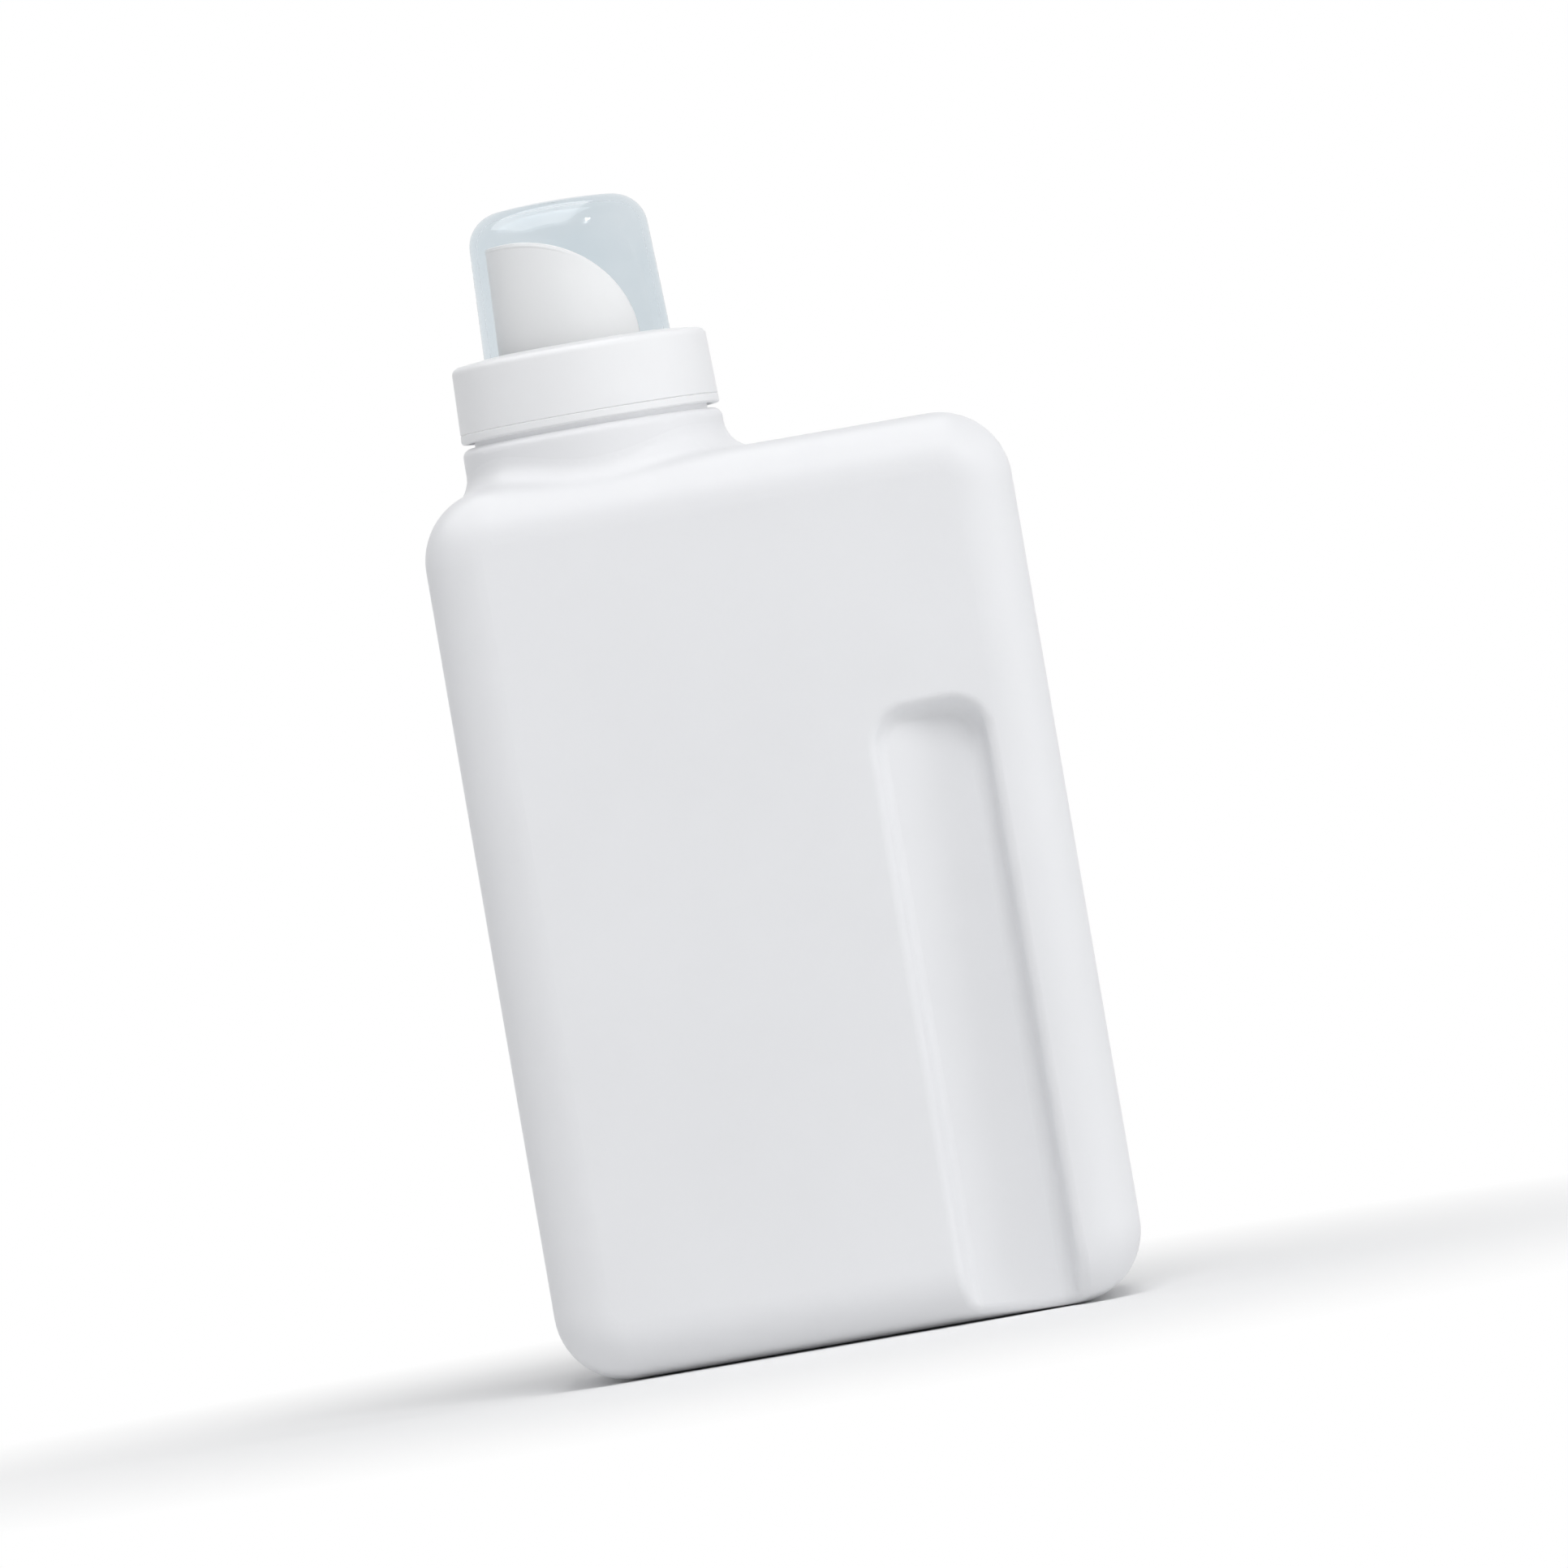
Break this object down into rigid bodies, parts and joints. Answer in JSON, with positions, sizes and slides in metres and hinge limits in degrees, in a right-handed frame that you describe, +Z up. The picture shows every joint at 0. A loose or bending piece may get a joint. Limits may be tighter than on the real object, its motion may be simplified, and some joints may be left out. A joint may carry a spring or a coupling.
{
  "type": "lotion bottle",
  "caption": "Flat white blow-moulded bottle with an offset neck, finger recesses low on one side, a drip-return pouring spout and a screw-on translucent measuring cap.",
  "frame": {"origin": "middle of the base, on the surface it stands on", "axes": "+Z up through the neck; +X to the finger recesses, away from the neck; -Y out of the broad front face"},
  "size_m": [0.102, 0.058, 0.2027],
  "materials": {
    "bottle_white": "satin blow-moulded polyethylene",
    "spout_white": "satin moulded polyethylene",
    "cup_blue": "translucent pale blue polypropylene",
    "ring_white": "smooth moulded polypropylene"
  },
  "bodies": {
    "bottle": {"bottle_body": "bottle_white", "pour_spout": "spout_white"},
    "cup": {"measuring_cup": "cup_blue"},
    "ring": {"cap_ring": "ring_white"}
  },
  "joints": [
    {"name": "cap_lift", "type": "slide", "parent": "bottle", "child": "cup", "axis": [0, 0, 1], "range_m": [0, 0.065]},
    {"name": "ring_turn", "type": "hinge", "parent": "cup", "child": "ring", "pos_m": [-0.019, 0, 0.17], "axis": [0, 0, 1], "range_deg": [0, 450]}
  ]
}
